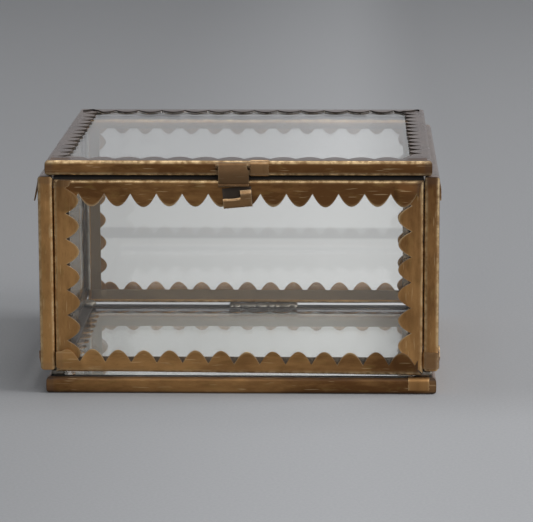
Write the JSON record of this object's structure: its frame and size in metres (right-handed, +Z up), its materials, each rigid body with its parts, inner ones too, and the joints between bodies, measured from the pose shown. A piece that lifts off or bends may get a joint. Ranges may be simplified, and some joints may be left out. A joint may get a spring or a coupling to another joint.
{
  "type": "jewelry box",
  "caption": "Clear glass jewelry box whose panes are edged in scalloped aged-brass strip, with a back-hinged glass lid and a small hanging hasp at the front.",
  "frame": {"origin": "on the surface the box stands on, under the middle of its outer box (foremost point of the hasp to rearmost point of the hinges)", "axes": "+X to the right seen from the front, +Y from the front to the hinged back, +Z up"},
  "size_m": [0.15, 0.1466, 0.0893],
  "materials": {
    "edging_brass": "aged, brown patina with brighter folded edges",
    "clasp_brass": "aged, darker brown, rubbed bright at the corners",
    "hinge_brass": "aged",
    "wire": "dull drawn wire",
    "solder": "lumpy grey solder, dull, darkened",
    "clear_glass": "clear polished sheet"
  },
  "bodies": {
    "body": {"front_glass": "clear_glass", "front_foot_edging": "edging_brass", "front_right_edging": "edging_brass", "front_top_edging": "edging_brass", "front_left_edging": "edging_brass", "back_glass": "clear_glass", "back_foot_edging": "edging_brass", "back_left_edging": "edging_brass", "back_top_edging": "edging_brass", "back_right_edging": "edging_brass", "left_glass": "clear_glass", "left_foot_edging": "edging_brass", "left_front_edging": "edging_brass", "left_top_edging": "edging_brass", "left_back_edging": "edging_brass", "right_glass": "clear_glass", "right_foot_edging": "edging_brass", "right_back_edging": "edging_brass", "right_top_edging": "edging_brass", "right_front_edging": "edging_brass", "base_glass": "clear_glass", "base_back_edging": "edging_brass", "base_right_edging": "edging_brass", "base_front_edging": "edging_brass", "base_left_edging": "edging_brass", "solder_foot_front_left": "solder", "solder_foot_front_right": "solder", "solder_foot_back_left": "solder", "solder_foot_back_right": "solder", "solder_seam_front_left": "solder", "solder_seam_front_right": "solder", "solder_seam_back_left": "solder", "solder_seam_back_right": "solder", "solder_bead_back": "solder", "catch": "clasp_brass", "left_hinge_body_leaf": "hinge_brass", "left_hinge_pin": "wire", "right_hinge_body_leaf": "hinge_brass", "right_hinge_pin": "wire"},
    "lid": {"lid_glass": "clear_glass", "lid_front_edging": "edging_brass", "lid_right_edging": "edging_brass", "lid_back_edging": "edging_brass", "lid_left_edging": "edging_brass", "left_hinge_lid_leaf": "hinge_brass", "right_hinge_lid_leaf": "hinge_brass", "lid_front_lap": "clasp_brass", "clasp_leaf": "clasp_brass", "clasp_pin": "wire"},
    "hasp": {"hasp": "clasp_brass"}
  },
  "joints": [
    {"name": "lid_hinge", "type": "hinge", "parent": "body", "child": "lid", "pos_m": [0, 0.07162, 0.08114], "axis": [-1, 0, 0], "range_deg": [0, 105]},
    {"name": "hasp_hinge", "type": "hinge", "parent": "lid", "child": "hasp", "pos_m": [-0.00195, -0.07098, 0.08734], "axis": [-1, 0, 0], "range_deg": [0, 130]}
  ]
}
